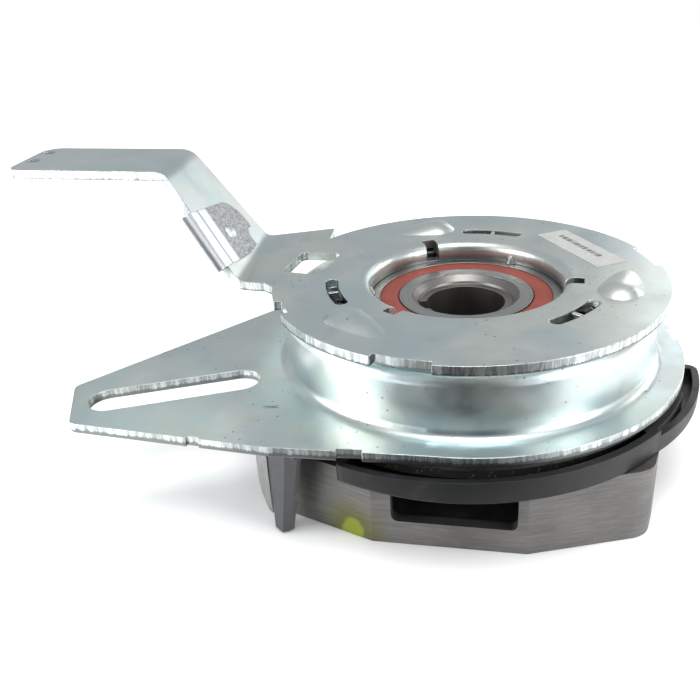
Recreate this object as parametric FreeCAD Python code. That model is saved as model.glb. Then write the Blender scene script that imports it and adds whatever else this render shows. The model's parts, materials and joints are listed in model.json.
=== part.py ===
import FreeCAD, Part
import math
import os

# Lever-operated blade clutch and brake for a vertical engine shaft, in millimetres.
# +Z points up along the shaft. The origin is on the bore axis, at the hub's top land.
# Two plates with balls between them are forced apart or let together by the lever,
# which brakes or frees the dish below; springs then lift the dish against the drive disc.

V = FreeCAD.Vector
UP = V(0, 0, 1)

# Driving dimensions -------------------------------------------------------

bore_r = 12.7
keyway_width = 6.35
keyway_floor_r = 15.9
keyway_angle = 192.0

bearing_bore_r = 17.5
bearing_outer_r = 31.0
bearing_width = 14.0
race_r = 24.25
inner_land_r = 21.6
outer_land_r = 27.0
bearing_ball_r = 3.9
groove_r = 4.0
bearing_ball_count = 11
upper_bearing_top = 2.8
lower_bearing_top = -30.0

sheet = 3.0
lever_top = 9.0
lever_rim_r = 62.6
collar_outer_r = 34.0
lever_turn = 9.5
ramp_lift = 1.0
carrier_lift = 0.7

slot_r = 43.3
slot_angles = (77.5, 197.5, 317.5)
slot_half_span = 11.5
slot_width = 4.2
finger_length = 2.6

ramp_ball_r = 3.5
ramp_circle_r = 48.0
ramp_angles = (108.0, 228.0, 348.0)

bend_x = -74.4
tab_bend_x = -97.5
tab_top = 44.0
tab_tip_x = -157.0

cup_roof_top = 4.5
cup_wall_r = 59.5
flange_top = -15.0
flange_r = 68.7
arm_angle = 199.5
arm_tip = 128.0
arm_tip_half = 11.7
arm_back_r = 71.0
arm_knee = (72.5, 43.9)
arm_front_end = (31.0, 61.3)
arm_side_shift = 1.5
arm_slot_width = 13.0
arm_slot_side = 2.4
arm_slot_start = 69.6
arm_slot_end = 123.2

dish_top = -25.5
dish_sheet = 2.5
carrier_bottom = -51.0
carrier_angle = -4.3
band_wall = 3.5
blade_bolt_spacing = 88.0
blade_bolt_r = 5.0


# Helpers ------------------------------------------------------------------

def polar(radius, degrees, z=0.0):
    angle = math.radians(degrees)
    return V(radius * math.cos(angle), radius * math.sin(angle), z)


def turned(shape, degrees):
    copy = shape.copy()
    copy.rotate(V(0, 0, 0), UP, degrees)
    return copy


def disc(radius, z0, z1):
    return Part.makeCylinder(radius, z1 - z0, V(0, 0, z0))


def ring(inner, outer, z0, z1):
    return disc(outer, z0, z1).cut(disc(inner, z0 - 1, z1 + 1))


def sector(inner, outer, z0, z1, middle, span):
    wedge = Part.makeCylinder(outer, z1 - z0, V(0, 0, z0), UP, span)
    wedge = turned(wedge, middle - span / 2)
    if inner > 0:
        wedge = wedge.cut(disc(inner, z0 - 1, z1 + 1))
    return wedge


def prism(points, z0, z1):
    corners = [V(x, y, z0) for x, y in points]
    outline = Part.makePolygon(corners + corners[:1])
    return Part.Face(outline).extrude(V(0, 0, z1 - z0))


def box(x0, x1, y0, y1, z0, z1):
    return Part.makeBox(x1 - x0, y1 - y0, z1 - z0, V(x0, y0, z0))


def turned_section(points):
    corners = [V(r, 0, z) for r, z in points]
    outline = Part.makePolygon(corners + corners[:1])
    return Part.Face(outline).revolve(V(0, 0, 0), UP, 360)


def round_circles(shape, radius, circles):
    def wanted(edge):
        curve = edge.Curve
        if not isinstance(curve, Part.Circle):
            return False
        return any(abs(curve.Radius - r) < 0.01 and abs(curve.Center.z - z) < 0.01 for r, z in circles)
    return shape.makeFillet(radius, [edge for edge in shape.Edges if wanted(edge)])


def round_uprights(shape, radius, spots):
    def wanted(edge):
        if len(edge.Vertexes) != 2:
            return False
        a = edge.Vertexes[0].Point
        b = edge.Vertexes[1].Point
        if math.hypot(a.x - b.x, a.y - b.y) > 0.01 or abs(a.z - b.z) < 0.5:
            return False
        return any(math.hypot(a.x - x, a.y - y) < 0.3 for x, y in spots)
    return shape.makeFillet(radius, [edge for edge in shape.Edges if wanted(edge)])


def arc_slot(radius, width, z0, z1, middle, half_span):
    cut = sector(radius - width / 2, radius + width / 2, z0, z1, middle, 2 * half_span)
    for side in (-1, 1):
        end = Part.makeCylinder(width / 2, z1 - z0, polar(radius, middle + side * half_span, z0))
        cut = cut.fuse(end)
    return cut


def arc_rod(radius, rod_r, z, start, end):
    rod = Part.makeTorus(radius, rod_r, V(0, 0, z), UP, 0, 360, end - start)
    rod = turned(rod, start)
    for angle in (start, end):
        rod = rod.fuse(Part.makeSphere(rod_r, polar(radius, angle, z)))
    return rod


def save(name, shape):
    if isinstance(shape, list):
        shape = Part.makeCompound(shape)
    elif len(shape.Solids) == 1:
        shape = shape.Solids[0]
    else:
        print("solids in", name, len(shape.Solids))
    if not shape.isValid():
        print("not valid:", name)
    shape.exportStep("parts/" + name + ".step")


# Lever plate --------------------------------------------------------------

def collar():
    seat_bottom = upper_bearing_top - bearing_width
    body = turned_section([
        (28.2, seat_bottom - 2.0),
        (collar_outer_r, seat_bottom - 2.0),
        (collar_outer_r, lever_top - sheet),
        (46.0, lever_top - sheet),
        (46.0, lever_top),
        (bearing_outer_r, lever_top),
        (bearing_outer_r, seat_bottom),
        (28.2, seat_bottom),
    ])
    body = round_circles(body, 2.8, [(bearing_outer_r, lever_top)])
    lower_edges = [(collar_outer_r, lever_top - sheet), (collar_outer_r, seat_bottom - 2.0)]
    return round_circles(body, 1.5, lower_edges)


def arm_strip():
    low = lever_top - sheet
    lean = math.atan2(tab_top - lever_top, bend_x - tab_bend_x)
    back_set = sheet * math.tan(lean / 2)
    side = [
        (-50.0, lever_top),
        (bend_x, lever_top),
        (tab_bend_x, tab_top),
        (tab_tip_x - 10, tab_top),
        (tab_tip_x - 10, tab_top - sheet),
        (tab_bend_x - back_set, tab_top - sheet),
        (bend_x - back_set, low),
        (-50.0, low),
    ]
    corners = [V(x, -60, z) for x, z in side]
    strip = Part.Face(Part.makePolygon(corners + corners[:1])).extrude(V(0, 140, 0))
    inside_r = 4.0

    def bend_edges(x, z):
        return [e for e in strip.Edges if all(math.hypot(v.X - x, v.Z - z) < 0.01 for v in e.Vertexes)]

    outer = bend_edges(bend_x - back_set, low) + bend_edges(tab_bend_x, tab_top)
    strip = strip.makeFillet(inside_r + sheet, outer)
    inner = bend_edges(bend_x, lever_top) + bend_edges(tab_bend_x - back_set, tab_top - sheet)
    strip = strip.makeFillet(inside_r, inner)
    plan = [
        (-25.0, 57.4), (bend_x, 42.1), (tab_bend_x, 36.1), (-155.8, 44.7),
        (tab_tip_x, 12.8), (tab_bend_x, 4.5), (bend_x, -3.8), (-65.4, -5.4),
        (-62.0, -8.6), (-50.0, -12.0), (-20.0, 30.0),
    ]
    outline = prism(plan, 0, 60)
    outline = round_uprights(outline, 6.0, [(-155.8, 44.7), (tab_tip_x, 12.8)])
    outline = round_uprights(outline, 12.0, [(bend_x, 42.1), (tab_bend_x, 36.1), (tab_bend_x, 4.5)])
    return strip.common(outline)


def dimple(angle):
    # A sphere and a sinking cylinder leave a teardrop that fades along the plate.
    crown = lever_top + 3.0
    radius = 9.0
    sink = 10.0
    centre = V(ramp_circle_r, 0, crown - radius)
    along = V(0, math.cos(math.radians(sink)), -math.sin(math.radians(sink)))
    shape = Part.makeSphere(radius, centre).fuse(Part.makeCylinder(radius, 30.0, centre, along))
    shape = shape.common(ring(20, 70, lever_top - 1.0, lever_top + 10))
    return turned(shape, angle - lever_turn / 2)


def ramp_pocket(angle):
    # The pocket is deepest where the ball is when the lever is pulled.
    radius = ramp_ball_r + 0.25
    travel = ramp_circle_r * math.radians(lever_turn / 2)
    slope = math.atan2(ramp_lift, travel)
    mid_z = (lever_top - sheet + cup_roof_top) / 2
    centre = V(ramp_circle_r, 0, mid_z + ramp_lift)
    along = V(0, math.cos(slope), -math.sin(slope))
    shape = Part.makeSphere(radius, centre).fuse(Part.makeCylinder(radius, 22.0, centre, along))
    return turned(shape, angle - lever_turn / 2)


def lever_plate():
    low = lever_top - sheet
    plate = disc(lever_rim_r, low, lever_top).fuse(arm_strip())
    plate = plate.cut(disc(40.0, low - 5, lever_top + 5)).fuse(collar())
    for angle in ramp_angles:
        plate = plate.fuse(dimple(angle))
    plate = plate.removeSplitter()
    for angle in ramp_angles:
        plate = plate.cut(ramp_pocket(angle))
    for angle in (15.0, 254.0):
        plate = plate.cut(sector(lever_rim_r - 2.0, 70, low - 1, lever_top + 1, angle, 16.0))
    plate = plate.cut(sector(lever_rim_r - 2.4, 70, low - 1, lever_top + 1, 204.0, 9.0))
    for angle in slot_angles:
        plate = plate.cut(arc_slot(slot_r, slot_width, low - 1, lever_top + 1, angle, slot_half_span))
        finger = box(slot_r - 0.8, slot_r + 0.8, -finger_length, 3.0, low + 0.6, low + 2.0)
        plate = plate.fuse(turned(finger, angle + slot_half_span))
    for angle in (112.0, 232.0, 352.0):
        gap = box(bearing_outer_r - 3, 37.0, -2.3, 2.3, upper_bearing_top + 0.6, lever_top + 2)
        plate = plate.cut(turned(gap, angle))
    for angle in (60.0, 180.0, 300.0):
        stake = Part.makeCone(2.2, 0.9, 2.4, V(bearing_outer_r + 0.6, 0, upper_bearing_top))
        plate = plate.fuse(turned(stake, angle))
    window = prism([(-61.5, 5.0), (-57.6, 23.6), (-43.5, 22.0), (-47.8, 1.4)], low - 1, lever_top + 1)
    window = round_uprights(window, 2.0, [(-61.5, 5.0), (-57.6, 23.6), (-43.5, 22.0), (-47.8, 1.4)])
    plate = plate.cut(window)
    for y in (25.0, 36.8):
        mark = Part.makeCylinder(1.1, 5, V(-153.6, y, tab_top - 0.6))
        plate = plate.cut(mark.fuse(Part.makeCylinder(1.1, 5, V(-150.8, y, tab_top - 0.6))))
    return plate


# Clip riveted to the rising part of the lever ---------------------------------

def on_riser(shape, up_the_riser, y):
    lean = math.atan2(tab_top - lever_top, bend_x - tab_bend_x)
    copy = shape.copy()
    copy.rotate(V(0, 0, 0), V(0, 1, 0), math.degrees(lean))
    spot = V(bend_x - up_the_riser * math.cos(lean), y, lever_top + up_the_riser * math.sin(lean))
    copy.translate(spot)
    return copy


clip_sheet = 1.5
clip_low = 6.0
clip_high = 26.5


def cable_clip():
    # Local frame: -x up the riser, +z out of its upper face, y across.
    length = clip_high - clip_low
    edge = -2.8
    far = 32.5
    plan = [(0, edge), (0, 18.5), (-1.6, 26.6), (-2.4, far), (-length, far), (-length, edge)]
    pad = prism(plan, 0, clip_sheet)
    pad = round_uprights(pad, 11.5, [(-length, far)])
    pad = round_uprights(pad, 5.0, [(0, 18.5)])
    pad = pad.cut(Part.makeCylinder(4.3, 10, V(-4.4, 31.4, -5)))
    back = box(-length, 0, edge, 20.0, -sheet - clip_sheet, -sheet)
    mid_z = -sheet / 2
    fold_r = sheet / 2 + clip_sheet
    outer = Part.makeCylinder(fold_r, length, V(-length, edge, mid_z), V(1, 0, 0))
    inner = Part.makeCylinder(fold_r - clip_sheet, length + 2, V(-length - 1, edge, mid_z), V(1, 0, 0))
    fold = outer.cut(inner).cut(box(-length - 1, 1, edge, edge + 10, -10, 10))
    clip = pad.fuse(back).fuse(fold)
    return clip


def place_on_riser(shape):
    skew = math.degrees(math.atan2(8.3, math.hypot(tab_top - lever_top, bend_x - tab_bend_x)))
    copy = shape.copy()
    copy.rotate(V(0, 0, 0), UP, -skew)
    return on_riser(copy, clip_low, -3.8 + 0.2 * clip_low)


rivet_hole_r = 2.2
rivet_spot = (-9.6, 14.0)


def rivet_hole():
    return Part.makeCylinder(rivet_hole_r, 20, V(rivet_spot[0], rivet_spot[1], -10))


def clip_rivet():
    x, y = rivet_spot
    shank = Part.makeCylinder(rivet_hole_r, sheet + 2 * clip_sheet, V(x, y, -sheet - clip_sheet))
    head_r = 2.9
    height = 1.5
    dome_r = (head_r ** 2 + height ** 2) / (2 * height)
    rivet = shank
    for side, base in ((1, clip_sheet), (-1, -sheet - clip_sheet)):
        centre = V(x, y, base + side * (height - dome_r))
        dome = Part.makeSphere(dome_r, centre)
        low = base if side > 0 else base - height
        dome = dome.common(box(x - 5, x + 5, y - 5, y + 5, low, low + height))
        rivet = rivet.fuse(dome)
    return rivet


# Spring, label -------------------------------------------------------------

spring_wire_r = 0.4
spring_coil_r = 1.45


def return_spring(angle):
    # The tongue stands in the near loop and the lever's finger in the far one.
    z = lever_top - sheet + 1.3
    near = Part.makeTorus(spring_coil_r, spring_wire_r, V(slot_r, -0.3, z), UP)
    far = Part.makeTorus(1.65, spring_wire_r, V(slot_r, -finger_length + 0.4, z), V(0, 1, 0))
    middle = 4.7
    start = 2.05 - slot_r * math.sin(math.radians(middle))
    end = slot_r * math.sin(math.radians(slot_half_span - middle)) - finger_length - 0.55
    turns = 5
    pitch = (end - start) / turns
    helix = Part.makeHelix(pitch, end - start, spring_coil_r - 0.1)
    section = Part.Wire(Part.makeCircle(spring_wire_r, V(spring_coil_r - 0.1, 0, 0), V(0, 1, 0)))
    coil = Part.Wire(helix).makePipeShell([section], True, True)
    coil.rotate(V(0, 0, 0), V(1, 0, 0), -90)
    coil.translate(V(slot_r - 0.15, start, z))
    return [
        turned(near, angle),
        turned(coil, angle + middle),
        turned(far, angle + slot_half_span),
    ]


def label():
    plate = box(-18.2, 18.2, -5.7, 5.7, lever_top, lever_top + 0.15)
    plate.rotate(V(0, 0, 0), UP, -63.0)
    plate.translate(V(38.8, 24.9, 0))
    return plate


# Brake plate ------------------------------------------------------------------

def tangent_point(corner, radius):
    # Where the line from an outside corner touches a circle about the origin.
    away = math.hypot(corner[0], corner[1])
    towards = math.atan2(corner[1], corner[0])
    swing = math.copysign(math.acos(radius / away), corner[1])
    return (radius * math.cos(towards + swing), radius * math.sin(towards + swing))


def arm_outline():
    # In the arm's own frame: s outwards, t to its left, which is the front.
    corners = [(arm_tip, side * arm_tip_half + arm_side_shift) for side in (-1, 1)]
    back = tangent_point(corners[0], arm_back_r)
    inward = 20.0
    turns = [math.atan2(point[1], point[0]) for point in (back, arm_front_end)]
    ends = [(inward * math.cos(a), inward * math.sin(a)) for a in turns]
    return [ends[0], back, corners[0], corners[1], arm_knee, arm_front_end, ends[1]]


def edge_notch(start, end, first, last, depth):
    # A shallow notch in the straight edge from start to end, between two distances along it.
    length = math.hypot(end[0] - start[0], end[1] - start[1])
    along = ((end[0] - start[0]) / length, (end[1] - start[1]) / length)
    out = (along[1], -along[0])

    def at(distance, away):
        return (start[0] + along[0] * distance + out[0] * away, start[1] + along[1] * distance + out[1] * away)

    points = [at(first, -depth), at(last, -depth), at(last, 6.0), at(first, 6.0)]
    return prism(points, flange_top - sheet - 1, flange_top + 1)


def brake_plate():
    inner_wall_r = cup_wall_r - sheet
    flange_low = flange_top - sheet
    roof_low = cup_roof_top - sheet
    cup = turned_section([
        (36.5, roof_low),
        (36.5, cup_roof_top),
        (cup_wall_r, cup_roof_top),
        (cup_wall_r, flange_top),
        (flange_r, flange_top),
        (flange_r, flange_low),
        (inner_wall_r, flange_low),
        (inner_wall_r, roof_low),
    ])
    cup = round_circles(cup, 4.0, [(cup_wall_r, cup_roof_top)])
    cup = round_circles(cup, 1.2, [(inner_wall_r, roof_low)])
    cup = round_circles(cup, 2.8, [(cup_wall_r, flange_top)])
    cup = round_circles(cup, 4.5, [(inner_wall_r, flange_low)])
    arm = prism(arm_outline(), flange_low, flange_top)
    corners = [(arm_tip, side * arm_tip_half + arm_side_shift) for side in (-1, 1)]
    arm = round_uprights(arm, 3.0, corners)
    arm = arm.cut(disc(62.0, flange_low - 1, flange_top + 1))
    slot_half = arm_slot_width / 2
    y = arm_slot_side
    slot = box(arm_slot_start + slot_half, arm_slot_end - slot_half, y - slot_half, y + slot_half, -40, 0)
    for x in (arm_slot_start + slot_half, arm_slot_end - slot_half):
        slot = slot.fuse(Part.makeCylinder(slot_half, 40, V(x, y, -40)))
    arm = arm.cut(slot)
    cup = cup.fuse(turned(arm, arm_angle))
    for angle in ramp_angles:
        mid_z = (lever_top - sheet + cup_roof_top) / 2
        bulge = arc_rod(ramp_circle_r, ramp_ball_r + 2.6, mid_z, angle - 1.0, angle + lever_turn / 2 + 1.0)
        cup = cup.fuse(bulge.common(ring(20, 58, -10, cup_roof_top - 0.5)))
    cup = cup.removeSplitter()
    for angle in ramp_angles:
        groove = arc_rod(ramp_circle_r, ramp_ball_r + 0.1, mid_z, angle - 0.4, angle + lever_turn / 2 + 0.4)
        cup = cup.cut(groove)
    for angle in (5.5, 125.5):
        cup = cup.cut(sector(flange_r - 1.4, 80, flange_low - 1, flange_top + 1, angle, 7.0))
    notch = edge_notch(arm_knee, arm_front_end, 19.0, 26.2, 1.3)
    cup = cup.cut(turned(notch, arm_angle))
    notch = edge_notch(corners[1], arm_knee, 38.2, 42.2, 0.8)
    cup = cup.cut(turned(notch, arm_angle))
    for angle in slot_angles:
        cup = cup.cut(turned(box(slot_r - 2, slot_r + 2, -6.0, -0.7, roof_low - 1, cup_roof_top + 1), angle))
        low = lever_top - sheet
        tongue = box(slot_r - 1.7, slot_r + 1.7, -0.9, 0.3, cup_roof_top - 1, low + 0.4)
        tongue = tongue.fuse(box(slot_r - 0.85, slot_r + 0.85, -0.9, 0.3, low + 0.3, low + 2.0))
        tongue = tongue.fuse(box(slot_r - 1.6, slot_r + 1.6, -0.9, 0.3, low + 1.9, low + 2.8))
        cup = cup.fuse(turned(tongue, angle))
    return cup


backing_sheet = 2.2
lining_top = flange_top - sheet - backing_sheet


finger_angle = 226.5


def brake_backing_ring():
    return ring(47.0, 67.0, lining_top, flange_top - sheet)


def brake_lining(angle):
    return sector(49.0, 63.5, dish_top + 0.3, lining_top, angle, 104.0)


def finger_section(z, left, right, ridge_left, ridge_right):
    inner = 75.9
    outer = 79.6
    wall = 1.6
    corners = [
        (inner, left), (inner + wall, left), (outer, ridge_left),
        (outer, ridge_right), (inner + wall, right), (inner, right),
        (outer - wall, ridge_right - 0.6), (outer - wall, ridge_left + 0.6),
    ]
    points = [V(x, y, z) for x, y in corners]
    return Part.makePolygon(points + points[:1])


def guard_finger():
    # Channel-shaped finger under the torque arm, tapering down beside the turning dish.
    top = flange_top - sheet
    bottom = carrier_bottom + 0.6
    high = finger_section(top - 1.0, -6.5, 10.0, -2.6, 6.6)
    low = finger_section(bottom, -3.6, 1.6, -3.0, 0.9)
    finger = Part.makeLoft([high, low], True, True)
    foot = box(72.0, 79.6, -7.2, 11.0, top - 1.6, top)
    return turned(finger.fuse(foot), finger_angle)


def finger_side_plate():
    # Flat steel ear beside the finger, on the side towards the arm's tip.
    top = flange_top - sheet
    outline = [(-13.0, top), (-13.4, -38.0), (-12.4, -43.5), (-9.2, -48.6), (-7.4, -48.8), (-7.4, top)]
    corners = [V(75.9, t, z) for t, z in outline]
    plate = Part.Face(Part.makePolygon(corners + corners[:1])).extrude(V(1.6, 0, 0))
    return turned(plate, finger_angle)


# Bearings --------------------------------------------------------------------

seal_outer_r = 27.9


def outer_ring(top):
    low = top - bearing_width
    body = ring(outer_land_r, bearing_outer_r, low, top)
    body = body.cut(Part.makeTorus(race_r, groove_r, V(0, 0, top - bearing_width / 2), UP))
    body = body.cut(disc(seal_outer_r, top - 1.4, top + 1))
    body = body.cut(disc(seal_outer_r, low - 1, low + 1.4))
    corners = []
    for edge in body.Edges:
        round_one = isinstance(edge.Curve, Part.Circle) and abs(edge.Curve.Radius - bearing_outer_r) < 0.01
        if round_one:
            corners.append(edge)
    return body.makeChamfer(0.4, corners)


def inner_ring(top):
    mid = top - bearing_width / 2
    body = ring(bearing_bore_r, inner_land_r, top - bearing_width, top)
    return body.cut(Part.makeTorus(race_r, groove_r, V(0, 0, mid), UP))


def bearing_balls(top):
    mid = top - bearing_width / 2
    step = 360.0 / bearing_ball_count
    return [Part.makeSphere(bearing_ball_r, polar(race_r, i * step, mid)) for i in range(bearing_ball_count)]


def bearing_cage(top):
    mid = top - bearing_width / 2
    cage = ring(race_r - 1.5, race_r + 1.5, mid - 4.6, mid + 4.6)
    step = 360.0 / bearing_ball_count
    for i in range(bearing_ball_count):
        pocket = Part.makeCylinder(bearing_ball_r + 0.15, 12.0, V(race_r - 6, 0, mid), V(1, 0, 0))
        cage = cage.cut(turned(pocket, i * step))
    return cage


def bearing_seal(top, lower):
    low = top - bearing_width + 0.25 if lower else top - 1.4
    return ring(inner_land_r + 0.25, seal_outer_r, low, low + 1.15)


# Hub, drive disc and spring pack ------------------------------------------------

hub_bottom = -50.6
slide_r = bearing_bore_r - 0.05
collar_low = -17.0
drive_low = -21.0
seat_top = -47.2
seat_low = -49.0


def crank_hub():
    bearing_low = upper_bearing_top - bearing_width
    hub = turned_section([
        (bore_r, hub_bottom),
        (slide_r, hub_bottom),
        (slide_r, drive_low),
        (19.0, drive_low),
        (19.0, collar_low),
        (21.5, collar_low),
        (21.5, bearing_low),
        (bearing_bore_r, bearing_low),
        (bearing_bore_r, upper_bearing_top - 0.1),
        (17.1, upper_bearing_top - 0.1),
        (15.3, 0.8),
        (15.0, 0.0),
        (bore_r, 0.0),
    ])
    hub = hub.cut(ring(16.5, 20.0, seat_low - 1.3, seat_low))
    key = box(10.0, keyway_floor_r, -keyway_width / 2, keyway_width / 2, hub_bottom - 1, 1.0)
    return hub.cut(turned(key, keyway_angle))


def drive_disc():
    return ring(19.0, 46.0, drive_low, collar_low)


def clutch_lining():
    return ring(30.0, 45.5, dish_top + 0.8, drive_low)


def disc_springs():
    # Two conical washers, edge to edge, between the seat and the lower inner race.
    gap_top = lower_bearing_top - bearing_width
    mid = (seat_top + gap_top) / 2
    lower = [(18.0, seat_top + 0.02), (18.0, seat_top + 0.9), (24.0, mid), (24.0, mid - 0.85)]
    upper = [(18.0, gap_top - 0.9), (18.0, gap_top - 0.02), (24.0, mid + 0.87), (24.0, mid + 0.02)]
    return [turned_section(lower), turned_section(upper)]


def hub_circlip():
    clip = ring(16.5, 19.6, seat_low - 1.25, seat_low)
    return clip.cut(sector(0, 30, seat_low - 3, seat_low + 1, 90.0, 28.0))


# Blade carrier ---------------------------------------------------------------------

# Each half of the dish has one long lobe and, past its end, a lower ear that sticks out further.
half_turns = (0.0, 180.0)
lobe_start = -121.0
lobe_end = -20.0
ear_join = -40.0
ear_end = -1.0
lobe_first_r = 74.3
lobe_join_r = 70.5
lobe_last_r = 69.4
lobe_inner_r = 67.0
ear_last_r = 74.3
dish_root_r = 62.0
rim_height = 5.0
ear_height = 3.2


def dish_outline(inset):
    swing = math.degrees(inset / dish_root_r)
    root = dish_root_r - inset
    edges = []
    for half in half_turns:
        first = polar(lobe_first_r - inset, half + lobe_start + 2 + swing)
        middle = polar(71.9 - inset, half + (lobe_start + ear_join) / 2)
        join = polar(lobe_join_r - inset, half + ear_join)
        ear = polar(73.1 - inset, half + (ear_join + ear_end) / 2)
        last = polar(ear_last_r - inset, half + ear_end - swing)
        root_a = polar(root, half + ear_end + 1 - swing)
        root_b = polar(root, half + 29.0)
        root_c = polar(root, half + lobe_start + 180 - 1 + swing)
        following = polar(lobe_first_r - inset, half + lobe_start + 180 + 2 + swing)
        edges.append(Part.Arc(first, middle, join).toShape())
        edges.append(Part.Arc(join, ear, last).toShape())
        edges.append(Part.LineSegment(last, root_a).toShape())
        edges.append(Part.Arc(root_a, root_b, root_c).toShape())
        edges.append(Part.LineSegment(root_c, following).toShape())
    return Part.Wire(edges)


def pressure_dish():
    low = dish_top - dish_sheet
    rim_top = dish_top + rim_height
    outside = Part.Face(dish_outline(0.0)).extrude(V(0, 0, dish_sheet + rim_height))
    outside.translate(V(0, 0, low))
    corners = []
    for half in half_turns:
        for radius, angle in ((lobe_first_r, lobe_start + 2), (ear_last_r, ear_end)):
            spot = polar(radius, half + angle)
            corners.append((spot.x, spot.y))
    outside = round_uprights(outside, 3.5, corners)
    bowl = [(0, low), (69.5, low), (72.5, low + 1.0), (74.4, low + 3.0), (74.4, rim_top), (0, rim_top)]
    outside = outside.common(turned_section(bowl))
    inside = Part.Face(dish_outline(2.2)).extrude(V(0, 0, rim_height + 5))
    inside.translate(V(0, 0, dish_top))
    shape = outside.cut(inside)
    shape = shape.cut(disc(66.3, dish_top, rim_top + 1))
    for half in half_turns:
        ear_middle = half + (ear_join + 12) / 2
        shape = shape.cut(sector(60, 80, dish_top + ear_height, rim_top + 1, ear_middle, 50.0))
        lobe_middle = half + (ear_join + lobe_end) / 2 - 1
        lobe = sector(lobe_inner_r, lobe_last_r, low + 1, rim_top, lobe_middle, lobe_end - ear_join + 2)
        half_wall = (lobe_last_r - lobe_inner_r) / 2
        spot = polar(lobe_inner_r + half_wall, half + lobe_end, low + 1)
        lobe = lobe.fuse(Part.makeCylinder(half_wall, rim_top - low - 1, spot))
        shape = shape.fuse(lobe)
    shape = shape.removeSplitter()
    return shape.cut(disc(29.0, low - 1, dish_top + 1))


def band_plan(inset):
    front = 61.7 - inset
    shift = inset * 0.2
    half = [
        (-22.3 + shift * 0.9, -front),
        (22.3 - shift * 0.9, -front),
        (56.0 - inset * 0.93, -49.2 + inset * 0.85),
        (58.6 - inset, -38.0 + inset * 0.3),
    ]
    return half + [(-x, -y) for x, y in half][0:0] + [(x, -y) for x, y in half[::-1]][0:2] + \
        [(22.3 - shift * 0.9, front), (-22.3 + shift * 0.9, front)] + \
        [(-x, -y) for x, y in half[2:4]] + [(-x, y) for x, y in half[2:4][::-1]]


def band_solid(inset, z0, z1):
    plan = band_plan(inset)
    solid = prism(plan, z0, z1)
    corners = [p for p in plan if abs(p[0]) > 30]
    sharp = [p for p in corners if abs(p[1]) > 42]
    solid = round_uprights(solid, 8.0 - inset * 0.9, sharp)
    return solid


def carrier_band():
    top = dish_top - dish_sheet
    band = band_solid(0.0, carrier_bottom, top).cut(band_solid(band_wall, carrier_bottom - 1, top + 1))
    notch = box(-16.5, 19.5, -80, -40, carrier_bottom + 8.0, top + 1)
    notch = round_low_corners(notch, 2.0)
    band = band.cut(notch).cut(turned(notch, 180))
    return turned(band, carrier_angle)


def round_low_corners(shape, radius):
    low = shape.BoundBox.ZMin
    edges = []
    for edge in shape.Edges:
        a = edge.Vertexes[0].Point
        b = edge.Vertexes[1].Point
        if abs(a.z - low) < 0.01 and abs(b.z - low) < 0.01 and abs(a.x - b.x) < 0.01:
            edges.append(edge)
    return shape.makeFillet(radius, edges)


base_sheet = 5.0


def carrier_base():
    top = carrier_bottom + base_sheet
    base = band_solid(band_wall, carrier_bottom, top)
    base = base.cut(disc(27.0, carrier_bottom - 1, top + 1))
    for side in (-1, 1):
        hole = Part.makeCylinder(blade_bolt_r, 20, V(side * blade_bolt_spacing / 2, 0, carrier_bottom - 5))
        base = base.cut(hole)
    return turned(base, carrier_angle)


def blade_nut(side):
    top = carrier_bottom + base_sheet
    across = 17.0
    points = [polar(across / math.sqrt(3), 60 * i + 30) for i in range(6)]
    nut = prism([(p.x, p.y) for p in points], top, top + 8.0)
    nut = nut.cut(Part.makeCylinder(blade_bolt_r, 20, V(0, 0, top - 5)))
    nut.translate(V(side * blade_bolt_spacing / 2, 0, 0))
    return turned(nut, carrier_angle)


def bearing_housing():
    top = dish_top - dish_sheet
    low = carrier_bottom + base_sheet
    seat = lower_bearing_top - bearing_width
    housing = turned_section([
        (28.5, low), (35.0, low), (35.0, top), (bearing_outer_r, top), (bearing_outer_r, seat), (28.5, seat),
    ])
    return housing.cut(ring(30.0, 32.2, lower_bearing_top, lower_bearing_top + 1.3))


def housing_circlip():
    clip = ring(28.4, 32.2, lower_bearing_top + 0.02, lower_bearing_top + 1.25)
    return clip.cut(sector(0, 40, lower_bearing_top - 1, lower_bearing_top + 2, 90.0, 20.0))


# Build ----------------------------------------------------------------------------

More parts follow.
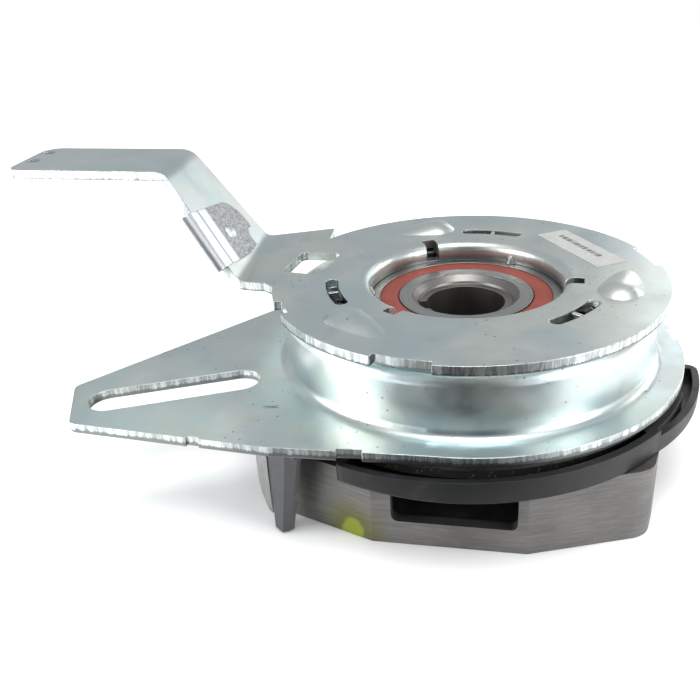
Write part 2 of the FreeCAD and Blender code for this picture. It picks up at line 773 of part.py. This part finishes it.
def main():
    os.makedirs("parts", exist_ok=True)
    hole = rivet_hole()
    save("lever_plate", lever_plate().cut(place_on_riser(hole)))
    save("cable_clip", place_on_riser(cable_clip().cut(hole)))
    save("clip_rivet", place_on_riser(clip_rivet()))
    save("label_plate", label())
    for number, angle in enumerate(slot_angles, 1):
        save("return_spring_%d" % number, return_spring(angle))
    for number, angle in enumerate(ramp_angles, 1):
        mid_z = (lever_top - sheet + cup_roof_top) / 2
        save("ramp_ball_%d" % number, Part.makeSphere(ramp_ball_r, polar(ramp_circle_r, angle, mid_z)))

    save("brake_plate", brake_plate())
    save("brake_backing_ring", brake_backing_ring())
    for number, angle in enumerate((30.0, 150.0, 270.0), 1):
        save("brake_lining_%d" % number, brake_lining(angle))
    save("guard_finger", guard_finger())
    save("finger_side_plate", finger_side_plate())

    for place, top in (("hub", upper_bearing_top), ("carrier", lower_bearing_top)):
        save(place + "_bearing_outer_ring", outer_ring(top))
        save(place + "_bearing_inner_ring", inner_ring(top))
        save(place + "_bearing_balls", bearing_balls(top))
        save(place + "_bearing_cage", bearing_cage(top))
        save(place + "_bearing_top_seal", bearing_seal(top, False))
        save(place + "_bearing_bottom_seal", bearing_seal(top, True))

    save("crank_hub", crank_hub())
    save("drive_disc", drive_disc())
    save("clutch_lining", clutch_lining())
    save("spring_seat", ring(slide_r, 25.0, seat_low, seat_top))
    save("disc_springs", disc_springs())
    save("hub_circlip", hub_circlip())

    save("pressure_dish", pressure_dish())
    save("carrier_band", carrier_band())
    save("carrier_base", carrier_base())
    save("bearing_housing", bearing_housing())
    save("housing_circlip", housing_circlip())
    for number, side in enumerate((-1, 1), 1):
        save("blade_nut_%d" % number, blade_nut(side))


main()
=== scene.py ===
"""Visual model of the blade clutch and brake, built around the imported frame. Metres, +Z up."""

import json
import math

import bpy
from mathutils import Matrix, Vector


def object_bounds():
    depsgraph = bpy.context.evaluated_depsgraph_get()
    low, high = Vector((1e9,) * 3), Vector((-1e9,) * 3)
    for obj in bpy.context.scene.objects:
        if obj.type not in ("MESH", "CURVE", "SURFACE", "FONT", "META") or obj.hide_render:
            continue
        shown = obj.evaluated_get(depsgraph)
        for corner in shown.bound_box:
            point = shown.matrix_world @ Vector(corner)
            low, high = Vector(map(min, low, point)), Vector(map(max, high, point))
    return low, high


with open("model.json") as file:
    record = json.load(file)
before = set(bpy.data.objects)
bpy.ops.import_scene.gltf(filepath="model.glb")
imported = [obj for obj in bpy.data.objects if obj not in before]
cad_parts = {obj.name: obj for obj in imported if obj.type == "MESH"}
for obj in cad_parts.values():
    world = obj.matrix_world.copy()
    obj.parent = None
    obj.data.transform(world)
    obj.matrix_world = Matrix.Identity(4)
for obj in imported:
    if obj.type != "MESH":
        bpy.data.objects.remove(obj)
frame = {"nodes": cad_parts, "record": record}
cad_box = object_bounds()
scene = bpy.context.scene
scene.view_settings.view_transform = "Standard"

MM = 0.001
UP = Vector((0, 0, 1))


# Camera -----------------------------------------------------------------------

def make_camera():
    elevation = math.radians(21.77)
    yaw = math.radians(8.89927)
    pitch = math.radians(-4.865759)
    roll = math.radians(-3.73)
    distance = 0.27025
    aim_height = 0.009
    back = Vector((0, -math.cos(elevation), math.sin(elevation)))
    forward = -back
    right = Vector((1, 0, 0))
    up = right.cross(forward)
    turn = Matrix.Rotation(yaw, 3, UP)
    forward, right, up = turn @ forward, turn @ right, turn @ up
    tilt = Matrix.Rotation(pitch, 3, right)
    forward, up = tilt @ forward, tilt @ up
    right, up = (
        right * math.cos(roll) + up * math.sin(roll),
        up * math.cos(roll) - right * math.sin(roll),
    )
    camera = bpy.data.objects.new("camera", bpy.data.cameras.new("camera"))
    camera.data.lens = 42.5
    camera.data.sensor_width = 36.0
    camera.data.clip_start = 0.01
    camera.matrix_world = Matrix((
        (right.x, up.x, -forward.x, 0),
        (right.y, up.y, -forward.y, back.y * distance),
        (right.z, up.z, -forward.z, back.z * distance + aim_height),
        (0, 0, 0, 1),
    ))
    scene.collection.objects.link(camera)
    scene.camera = camera


# Where the clip sits ----------------------------------------------------------

def make_clip_frame():
    # The clip's frame on the lever's riser: x down the riser, y across it, z out of its upper face.
    rise, run, sideways = 35.0, 23.1, 8.3
    foot = (-74.4, -3.8, 9.0)
    start = 6.0
    lean = math.atan2(rise, run)
    skew = math.atan2(sideways, math.hypot(rise, run))
    turn = Matrix.Rotation(lean, 4, "Y") @ Matrix.Rotation(-skew, 4, "Z")
    spot = Vector((
        foot[0] - start * math.cos(lean),
        foot[1] + 0.2 * start,
        foot[2] + start * math.sin(lean),
    ))
    return Matrix.Translation(spot * MM) @ turn


clip_frame = make_clip_frame()


# Materials --------------------------------------------------------------------

class Nodes:
    """A short way to write a material's nodes."""

    def __init__(self, name):
        self.material = bpy.data.materials.new(name)
        self.material.use_nodes = True
        self.tree = self.material.node_tree
        self.shader = next(n for n in self.tree.nodes if n.type == "BSDF_PRINCIPLED")
        self.coords = self.add("ShaderNodeTexCoord").outputs["Object"]

    def add(self, kind, **values):
        node = self.tree.nodes.new(kind)
        for key, value in values.items():
            setattr(node, key, value)
        return node

    def link(self, source, target):
        self.tree.links.new(source, target)

    def put(self, socket, value):
        if isinstance(value, bpy.types.NodeSocket):
            self.link(value, socket)
        elif isinstance(value, (tuple, list)) and socket.type == "RGBA" and len(value) == 3:
            socket.default_value = (*value, 1)
        else:
            socket.default_value = value

    def set(self, **values):
        for key, value in values.items():
            self.put(self.shader.inputs[key.replace("_", " ")], value)

    def math(self, operation, a, b=0.0):
        node = self.add("ShaderNodeMath", operation=operation)
        self.put(node.inputs[0], a)
        self.put(node.inputs[1], b)
        return node.outputs[0]

    def plus(self, a, b):
        return self.math("ADD", a, b)

    def minus(self, a, b):
        return self.math("SUBTRACT", a, b)

    def times(self, *values):
        product = values[0]
        for value in values[1:]:
            product = self.math("MULTIPLY", product, value)
        return product

    def larger(self, a, b):
        return self.math("MAXIMUM", a, b)

    def off(self, value, centre):
        # How far a value lies from a centre, either way.
        return self.math("ABSOLUTE", self.minus(value, centre))

    def scaled(self, scale):
        node = self.add("ShaderNodeMapping")
        self.link(self.coords, node.inputs["Vector"])
        node.inputs["Scale"].default_value = scale
        return node.outputs[0]

    def noise(self, scale, detail=4.0, stretch=None, rough=0.55, vector=None):
        node = self.add("ShaderNodeTexNoise")
        source = vector or (self.scaled(stretch) if stretch else self.coords)
        self.link(source, node.inputs["Vector"])
        node.inputs["Scale"].default_value = scale
        node.inputs["Detail"].default_value = detail
        node.inputs["Roughness"].default_value = rough
        return node.outputs["Fac"]

    def cells(self, scale):
        node = self.add("ShaderNodeTexVoronoi", feature="F1")
        self.link(self.coords, node.inputs["Vector"])
        node.inputs["Scale"].default_value = scale
        return node.outputs["Distance"]

    def span(self, value, low, high, out_low=0.0, out_high=1.0):
        node = self.add("ShaderNodeMapRange", interpolation_type="SMOOTHSTEP")
        for socket, number in zip(node.inputs, (value, low, high, out_low, out_high)):
            self.put(socket, number)
        return node.outputs[0]

    def span_mm(self, value, low, high):
        return self.span(value, low * MM, high * MM)

    def mix(self, factor, a, b):
        node = self.add("ShaderNodeMix", data_type="RGBA", blend_type="MIX")
        self.put(node.inputs[0], factor)
        self.put(node.inputs[6], a)
        self.put(node.inputs[7], b)
        return node.outputs[2]

    def split(self, vector=None):
        node = self.add("ShaderNodeSeparateXYZ")
        self.link(vector or self.coords, node.inputs[0])
        return node.outputs

    def radius(self):
        x, y, _ = self.split()
        return self.math("SQRT", self.plus(self.times(x, x), self.times(y, y)))

    def height(self):
        return self.split()[2]

    def band(self, value, centre, half, soft):
        # 1 where a value in metres is within half of the centre, both in millimetres.
        away = self.off(value, centre * MM)
        return self.span_mm(away, half + soft, half - soft)

    def upright(self):
        # 1 on faces that look sideways, such as sheared edges, and 0 on level ones.
        geometry = self.add("ShaderNodeNewGeometry")
        z = self.split(geometry.outputs["True Normal"])[2]
        return self.span(self.math("ABSOLUTE", z), 0.35, 0.15)

    def distance(self, spot):
        node = self.add("ShaderNodeVectorMath", operation="DISTANCE")
        self.link(self.coords, node.inputs[0])
        node.inputs[1].default_value = tuple(c * MM for c in spot)
        return node.outputs["Value"]

    def near(self, spot, reach):
        # 1 close to a point in millimetres, fading to 0 at the reach.
        return self.span_mm(self.distance(spot), reach, reach * 0.5)

    def bump(self, height, strength, distance, under=None):
        node = self.add("ShaderNodeBump")
        node.inputs["Strength"].default_value = strength
        node.inputs["Distance"].default_value = distance
        self.link(height, node.inputs["Height"])
        if under:
            self.link(under, node.inputs["Normal"])
        return node.outputs[0]

    def along_axis(self, value):
        node = self.add("ShaderNodeCombineXYZ")
        self.link(value, node.inputs[0])
        return node.outputs[0]

    def soft_edges(self, radius):
        node = self.add("ShaderNodeBevel", samples=6)
        node.inputs["Radius"].default_value = radius
        return node.outputs[0]


def shade(tint, factor):
    return tuple(min(1, c * factor) for c in tint)


# Places on the parts that the finishes and the painted shade follow, in millimetres ------

# Handling marks on the plated sheet, and how far each reaches.
SCUFFS = (
    ((-101.0, 5.5, -15.0), 9.0),
    ((-108.0, -7.0, -15.0), 8.0),
    ((-56.0, -42.0, -12.0), 6.0),
    ((20.0, -67.0, -15.0), 5.0),
)
# The sheared rims' lower edges, and how high the torn part reaches: brake plate, lever plate, tab.
SHEARED_RIMS = ((-18.0, 1.6), (6.0, 0.7), (41.0, 0.6))
HALF_SHEET = 1.5
RIM_RADIUS = 60.4
RISER_MIDDLE = 25.0
RISER_HALF = 16.15
# Where painted shade darkens the recesses: the punched marks, the collar's bore and its gaps.
PUNCH_MARKS = ((-152.2, 25.0, 43.8), (-152.2, 36.8, 43.8))
COLLAR_BORE = 32.3
COLLAR_GAPS = (34.0, 38.0)
# The seal's edges, which take painted shade where they meet the rings, and its ridges.
SEAL_EDGES = (22.15, 27.35)
SEAL_RIDGES = (23.5, 26.2)
PAINT_SPOT = (-33.5, -58.5, -49.2)
# The clip's crease, painted dark as shade, and where its pad starts.
CLIP_CREASE = 1.4
CLIP_PAD = 7.5
LABEL_CENTRE = (38.8, 24.9, 0.0)
LABEL_TURN = math.radians(63)


def clouded_zinc(n, tint):
    # Bluish and warm clouds, dull blotches and faint scratches both ways.
    blue = tuple(c * f for c, f in zip(tint, (0.9, 0.985, 1.0)))
    warm = tuple(c * f for c, f in zip(tint, (1.03, 1.03, 0.97)))
    colour = n.mix(n.span(n.noise(34, 3.0), 0.35, 0.65), blue, warm)
    blotch = n.span(n.noise(90, 5.0), 0.52, 0.72)
    colour = n.mix(n.times(blotch, 0.35), colour, shade(tint, 0.8))
    line = n.span(n.noise(60, 2.0, stretch=(1, 14, 14), rough=0.7), 0.62, 0.7)
    cross = n.span(n.noise(55, 2.0, stretch=(16, 1.2, 16), rough=0.7), 0.63, 0.7)
    return n.mix(n.times(n.larger(line, cross), 0.11), colour, shade(tint, 0.72))


def pits_and_scuffs(n, colour):
    pit_colour, smear_colour = (0.06, 0.06, 0.055), (0.05, 0.05, 0.048)
    spots = n.span(n.cells(330), 0.16, 0.06)
    where = n.span(n.noise(45, 3.0), 0.5, 0.6)
    colour = n.mix(n.times(spots, where, 0.6), colour, pit_colour)
    smear = n.span(n.noise(230, 5.0, stretch=(0.45, 1.6, 1.0), rough=0.7), 0.53, 0.6)
    for spot, reach in SCUFFS:
        mark = n.times(smear, n.near(spot, reach), 0.8)
        colour = n.mix(mark, colour, smear_colour)
    return colour


def sheared_edges(n, colour, tint):
    # Ragged bright teeth above and torn dark metal below, then the riser's dark streaked edge.
    z = n.height()
    teeth = n.noise(520, 4.0, stretch=(1, 1, 0.16), rough=0.8)
    ragged = n.times(n.minus(teeth, 0.5), 2.6 * MM)
    for low, torn in SHEARED_RIMS:
        up_the_edge = n.plus(n.minus(z, low * MM), ragged)
        within = n.band(z, low + HALF_SHEET, HALF_SHEET, 0.1)
        outside = n.span_mm(n.radius(), RIM_RADIUS - 0.4, RIM_RADIUS + 0.4)
        bright = n.mix(n.span(teeth, 0.4, 0.6), shade(tint, 0.55), shade(tint, 1.2))
        edge = n.mix(n.span_mm(up_the_edge, torn, torn * 0.6), bright, shade(tint, 0.24))
        colour = n.mix(n.times(n.upright(), within, outside, 0.85), colour, edge)
    middle = n.times(n.upright(), n.band(z, RISER_MIDDLE, RISER_HALF, 0.35))
    streak = n.mix(n.span(teeth, 0.38, 0.62), shade(tint, 0.35), shade(tint, 0.8))
    return n.mix(n.times(middle, 0.9), colour, streak)


def deep_places(n, colour, tint):
    # Painted shade: the punched marks, and the collar's bore and gaps, lie deep and are painted
    # dark and dull; the bore and gaps are tinted reddish as a painted reflection of the seal.
    first, second = PUNCH_MARKS
    marks = n.larger(n.near(first, 3.0), n.near(second, 3.0))
    colour = n.mix(n.times(marks, 0.7), colour, shade(tint, 0.3))
    z, r = n.height(), n.radius()
    bore = n.times(
        n.span_mm(r, COLLAR_BORE + 0.5, COLLAR_BORE - 0.5),
        n.span_mm(z, 6.2, 4.0),
    )
    inner, outer = COLLAR_GAPS
    gaps = n.times(
        n.upright(),
        n.span_mm(r, inner - 0.2, inner + 0.2),
        n.span_mm(r, outer + 0.2, outer - 0.2),
        n.span_mm(z, 0.0, 1.0),
    )
    return n.mix(n.times(n.larger(bore, gaps), 0.72), colour, (0.1, 0.085, 0.085))


def zinc(name, tint):
    n = Nodes(name)
    colour = clouded_zinc(n, tint)
    colour = pits_and_scuffs(n, colour)
    colour = sheared_edges(n, colour, tint)
    colour = deep_places(n, colour, tint)
    fine = n.noise(420, 3.0)
    rough = n.plus(n.span(n.noise(70, 5.0), 0.3, 0.7, 0.26, 0.38), n.times(fine, 0.05))
    rolled = n.bump(n.noise(38, 2.0), 0.35, 0.9 * MM, n.soft_edges(0.5 * MM))
    grain = n.bump(fine, 0.12, 0.08 * MM, rolled)
    n.set(Base_Color=colour, Metallic=1.0, Roughness=rough, Normal=grain)
    return n.material


def plain_steel(name, tint, rough=(0.25, 0.4), turned=False, stain=0.3):
    n = Nodes(name)
    if turned:
        # Grain that runs round the axis, as a lathe leaves it.
        profile = n.add("ShaderNodeCombineXYZ")
        n.link(n.radius(), profile.inputs[0])
        n.link(n.height(), profile.inputs[2])
        grain = n.noise(2600, 2.0, vector=profile.outputs[0])
    else:
        grain = n.noise(500, 4.0)
    patch = n.noise(45, 5.0)
    colour = n.mix(n.span(grain, 0.3, 0.7), shade(tint, 0.82), shade(tint, 1.1))
    stained = n.times(n.span(patch, 0.45, 0.75), stain)
    colour = n.mix(stained, colour, shade(tint, 0.6))
    wear = n.plus(n.times(patch, 0.6), n.times(grain, 0.4))
    n.set(
        Base_Color=colour,
        Metallic=1.0,
        Roughness=n.span(wear, 0.3, 0.7, *rough),
        Normal=n.bump(grain, 0.25, 0.06 * MM, n.soft_edges(0.3 * MM)),
    )
    return n.material


def rubber(name, tint):
    n = Nodes(name)
    speck = n.noise(900, 3.0)
    patch = n.noise(80, 4.0)
    colour = n.mix(n.span(patch, 0.35, 0.7), tint, shade(tint, 0.8))
    # Painted shade: the seal is darkened at its inner and outer edges, in the crevices where it
    # meets the rings.
    r = n.radius()
    inner, outer = SEAL_EDGES
    rim = n.larger(
        n.span_mm(r, inner + 0.25, inner - 0.25),
        n.span_mm(r, outer - 0.25, outer + 0.25),
    )
    colour = n.mix(n.times(rim, 0.75), colour, shade(tint, 0.25))
    first, second = (n.band(r, ridge, 0.35, 0.15) for ridge in SEAL_RIDGES)
    ridges = n.bump(n.larger(first, second), 0.5, 0.2 * MM)
    n.set(
        Base_Color=colour,
        Roughness=n.span(patch, 0.3, 0.7, 0.5, 0.62),
        Specular_IOR_Level=0.25,
        Normal=n.bump(speck, 0.2, 0.05 * MM, ridges),
    )
    return n.material


def black_coat(name, tint, rough):
    n = Nodes(name)
    peel = n.noise(380, 2.0)
    dust = n.noise(120, 6.0)
    dusty = tuple(c * 2.2 + 0.006 for c in tint)
    n.set(
        Base_Color=n.mix(n.span(dust, 0.55, 0.75), tint, dusty),
        Roughness=n.span(dust, 0.35, 0.7, *rough),
        Specular_IOR_Level=0.5,
        Normal=n.bump(peel, 0.25, 0.08 * MM, n.soft_edges(0.4 * MM)),
    )
    return n.material


def raw_band(name, tint):
    n = Nodes(name)
    grain = n.noise(260, 5.0, stretch=(0.35, 0.35, 6.0), rough=0.75)
    patch = n.noise(38, 5.0)
    colour = n.mix(n.span(grain, 0.3, 0.7), shade(tint, 0.78), shade(tint, 1.12))
    colour = n.mix(n.span(patch, 0.5, 0.78, 0.0, 0.5), colour, shade(tint, 0.55))
    # A spot of yellow-green paint with a soft halo and a ragged edge.
    halo_colour, paint_colour = (0.14, 0.145, 0.03), (0.2, 0.24, 0.008)
    ragged = n.times(n.minus(n.noise(300, 3.0), 0.5), 3.5 * MM)
    away = n.plus(n.distance(PAINT_SPOT), ragged)
    colour = n.mix(n.span(away, 14.5 * MM, 3.0 * MM, 0.0, 0.75), colour, halo_colour)
    colour = n.mix(n.span_mm(away, 5.2, 3.4), colour, paint_colour)
    n.set(
        Base_Color=colour,
        Metallic=n.span(away, 3.6 * MM, 5.2 * MM, 0.0, 0.9),
        Roughness=n.span(patch, 0.3, 0.7, 0.42, 0.55),
        Normal=n.bump(grain, 0.3, 0.06 * MM, n.soft_edges(0.3 * MM)),
    )
    return n.material


def friction(name):
    n = Nodes(name)
    brass, binder, fibre_colour = (0.2, 0.17, 0.12), (0.035, 0.033, 0.03), (0.07, 0.06, 0.05)
    fibre = n.noise(300, 6.0)
    colour = n.mix(n.span(n.cells(700), 0.1, 0.35), brass, binder)
    colour = n.mix(n.span(fibre, 0.4, 0.7, 0.0, 0.5), colour, fibre_colour)
    n.set(
        Base_Color=colour,
        Roughness=n.span(fibre, 0.3, 0.7, 0.75, 0.95),
        Normal=n.bump(fibre, 0.5, 0.2 * MM),
    )
    return n.material


def galvanised(name, tint):
    n = Nodes(name)
    grain = n.noise(900, 5.0, rough=0.8)
    # Distance across the clip from its fold: smooth and lighter there, pickled, darker and grainy
    # on the pad; the crease beside the fold takes painted shade.
    shifted = n.add("ShaderNodeVectorMath", operation="SUBTRACT")
    n.link(n.coords, shifted.inputs[0])
    shifted.inputs[1].default_value = clip_frame.translation
    dot = n.add("ShaderNodeVectorMath", operation="DOT_PRODUCT")
    n.link(shifted.outputs[0], dot.inputs[0])
    dot.inputs[1].default_value = clip_frame.col[1].xyz
    across = dot.outputs["Value"]
    pad = n.span_mm(across, CLIP_PAD - 0.7, CLIP_PAD + 0.7)
    crease = n.band(across, CLIP_CREASE, 0.55, 0.25)
    grainy = n.mix(n.span(grain, 0.36, 0.62), shade(tint, 0.4), shade(tint, 0.95))
    colour = n.mix(pad, shade(tint, 1.5), grainy)
    # Painted shade darkens the crease.
    colour = n.mix(n.times(crease, 0.7), colour, shade(tint, 0.35))
    fold_rough, pad_rough = (0.26, 0.26, 0.26), (0.52, 0.52, 0.52)
    n.set(
        Base_Color=colour,
        Metallic=1.0,
        Roughness=n.plus(n.mix(pad, fold_rough, pad_rough), n.times(grain, 0.06)),
        Normal=n.bump(grain, 0.4, 0.12 * MM, n.soft_edges(0.3 * MM)),
    )
    return n.material


def paper(name):
    n = Nodes(name)
    shadow, white, ink_colour = (0.34, 0.345, 0.33), (0.4, 0.405, 0.39), (0.05, 0.05, 0.055)
    fibre = n.noise(700, 4.0)
    colour = n.mix(n.span(fibre, 0.3, 0.7), shadow, white)
    # Plain bars stand in for print: distances along and across the label.
    centre = Vector(LABEL_CENTRE) * MM
    turn = n.add("ShaderNodeVectorRotate", rotation_type="Z_AXIS")
    n.link(n.coords, turn.inputs["Vector"])
    turn.inputs["Center"].default_value = centre
    turn.inputs["Angle"].default_value = LABEL_TURN
    x, y, _ = n.split(turn.outputs[0])
    along, across = n.minus(x, centre.x), n.minus(y, centre.y)
    row = n.band(across, 0.8, 1.05, 0.1)
    bars = n.math("GREATER_THAN", n.noise(900, 1.0, vector=n.along_axis(along)), 0.47)
    inside = n.band(along, -2.0, 12.4, 0.1)
    colour = n.mix(n.times(row, bars, inside, 0.85), colour, ink_colour)
    n.set(
        Base_Color=colour,
        Roughness=n.span(fibre, 0.3, 0.7, 0.4, 0.55),
        Normal=n.bump(fibre, 0.15, 0.05 * MM),
    )
    return n.material


def plastic(name, tint):
    n = Nodes(name)
    patch = n.noise(200, 5.0)
    n.set(
        Base_Color=n.mix(n.span(patch, 0.3, 0.7), tint, shade(tint, 0.8)),
        Roughness=n.span(patch, 0.3, 0.7, 0.45, 0.6),
        Normal=n.bump(patch, 0.15, 0.1 * MM),
    )
    return n.material


finishes = {
    "zinc_plate": zinc("zinc_lever", (0.66, 0.7, 0.7)),
    "galvanised_strip": galvanised("galvanised_strip", (0.55, 0.57, 0.58)),
    "rivet_steel": plain_steel("rivet_steel", (0.66, 0.69, 0.7), (0.42, 0.52), stain=0.15),
    "label": paper("label_paper"),
    "spring_wire": plain_steel("spring_wire", (0.045, 0.048, 0.047), (0.34, 0.46)),
    "ball_steel": plain_steel("ball_steel", (0.7, 0.7, 0.7), (0.06, 0.12), stain=0.05),
    "bearing_steel": plain_steel("bearing_steel", (0.42, 0.42, 0.41), (0.22, 0.34), turned=True),
    "seal_rubber": rubber("seal_rubber", (0.24, 0.055, 0.04)),
    "cage_plastic": plastic("cage_plastic", (0.6, 0.55, 0.4)),
    "hub_steel": plain_steel("hub_steel", (0.26, 0.25, 0.235), (0.36, 0.48), turned=True),
    "drive_steel": plain_steel("drive_steel", (0.35, 0.35, 0.35), (0.3, 0.42), turned=True),
    "friction": friction("friction_lining"),
    "ring_steel": plain_steel("ring_steel", (0.4, 0.4, 0.4), (0.32, 0.45)),
    "dish_black": black_coat("dish_black", (0.005, 0.0053, 0.006), (0.42, 0.54)),
    "finger_black": black_coat("finger_black", (0.045, 0.046, 0.05), (0.4, 0.52)),
    "band_steel": raw_band("band_steel", (0.2, 0.195, 0.188)),
    "nut_steel": plain_steel("nut_steel", (0.45, 0.44, 0.42), (0.35, 0.5)),
    "disc_spring_steel": plain_steel("disc_spring_steel", (0.14, 0.14, 0.15), (0.3, 0.45)),
}
CREASE_ANGLE = math.radians(32)


def dress_nodes():
    slots = {row["node"]: row["material_slot"] for row in frame["record"]["subparts"]}
    for name, node in frame["nodes"].items():
        node.data.materials.clear()
        node.data.materials.append(finishes[slots[name]])
        node.data.set_sharp_from_angle(angle=CREASE_ANGLE)


# Light and floor --------------------------------------------------------------

# Each light's place, aim, size and watts.
LIGHTS = {
    "overhead": ((0.05, -0.25, 0.75), (0, 0, 0), (0.5, 0.4), 4.0),
    "left_box": ((-0.5, -0.22, 0.1), (0, 0, -0.01), (0.3, 0.34), 2.2),
    "right_box": ((0.45, -0.28, 0.1), (0, 0, -0.01), (0.2, 0.34), 1.6),
    "rear_card": ((0.3, 0.66, 0.2), (0.05, 0, 0), (0.2, 0.46), 0.38),
    "back_box": ((0.62, 0.42, 0.2), (0.05, 0, -0.01), (0.3, 0.3), 1.3),
    "floor_wash": ((0, 0.95, 0.75), (0, 0.95, 0), (2.8, 1.3), 17.0),
}
SKY_COLOUR, SKY_STRENGTH = (0.95, 0.97, 1.0, 1), 0.52
FLOOR_REACH, FLOOR_BACK = 1.6, 1.15
FLOOR_GAP = 0.2 * MM
FLAG_LIFT = 1.0 * MM
FLAG_HEIGHT = 0.3


def area_light(name, place, aim, size, power):
    light = bpy.data.lights.new(name, "AREA")
    light.shape = "RECTANGLE"
    light.size, light.size_y = size
    light.energy = power
    item = bpy.data.objects.new(name, light)
    item.location = place
    item.rotation_euler = (Vector(place) - Vector(aim)).to_track_quat("Z", "Y").to_euler()
    scene.collection.objects.link(item)
    return item


def make_world():
    # A dim bluish sky for the light, and plain white where the camera looks past the floor.
    world = bpy.data.worlds.new("studio")
    scene.world = world
    world.use_nodes = True
    tree = world.node_tree
    sky = next(n for n in tree.nodes if n.type == "BACKGROUND")
    sky.inputs["Color"].default_value = SKY_COLOUR
    sky.inputs["Strength"].default_value = SKY_STRENGTH
    backdrop = tree.nodes.new("ShaderNodeBackground")
    backdrop.inputs["Color"].default_value = (1, 1, 1, 1)
    path = tree.nodes.new("ShaderNodeLightPath")
    chosen = tree.nodes.new("ShaderNodeMixShader")
    output = next(n for n in tree.nodes if n.type == "OUTPUT_WORLD")
    tree.links.new(path.outputs["Is Camera Ray"], chosen.inputs[0])
    tree.links.new(sky.outputs[0], chosen.inputs[1])
    tree.links.new(backdrop.outputs[0], chosen.inputs[2])
    tree.links.new(chosen.outputs[0], output.inputs[0])


def stage_material(name, scale, dark, light, rough):
    n = Nodes(name)
    n.set(Base_Color=n.mix(n.noise(scale, 2.0), dark, light), Roughness=rough)
    return n.material


def stage_plane(name, corners, material):
    mesh = bpy.data.meshes.new(name)
    mesh.from_pydata(corners, [], [(0, 1, 2, 3)])
    mesh.materials.append(material)
    plane = bpy.data.objects.new(name, mesh)
    scene.collection.objects.link(plane)
    return plane


def light_and_floor():
    make_world()
    for name, values in LIGHTS.items():
        lamp = area_light(name, *values)
        lamp.visible_glossy = name != "floor_wash"
    floor = cad_box[0].z - FLOOR_GAP
    white = stage_material("floor_white", 2, (0.93, 0.93, 0.93), (0.94, 0.94, 0.94), 0.8)
    stage_plane("floor", [
        (-FLOOR_REACH, -FLOOR_REACH, floor), (FLOOR_REACH, -FLOOR_REACH, floor),
        (FLOOR_REACH, FLOOR_BACK, floor), (-FLOOR_REACH, FLOOR_BACK, floor),
    ], white)
    # Black flags that only reflections see: they darken the polished steel's front.
    black = stage_material("flag_black", 9, (0.01, 0.01, 0.01), (0.014, 0.014, 0.014), 0.9)
    lift = floor + FLAG_LIFT
    flat = [(-0.13, -0.75, lift), (0.17, -0.75, lift), (0.13, -0.1, lift), (-0.09, -0.1, lift)]
    standing = [
        (-0.22, -0.5, lift), (0.26, -0.5, lift),
        (0.2, -0.5, FLAG_HEIGHT), (-0.16, -0.5, FLAG_HEIGHT),
    ]
    for name, corners in (("flag_floor", flat), ("flag_front", standing)):
        flag = stage_plane(name, corners, black)
        flag.visible_camera = False
        flag.visible_diffuse = False
        flag.visible_shadow = False


make_camera()
dress_nodes()
light_and_floor()
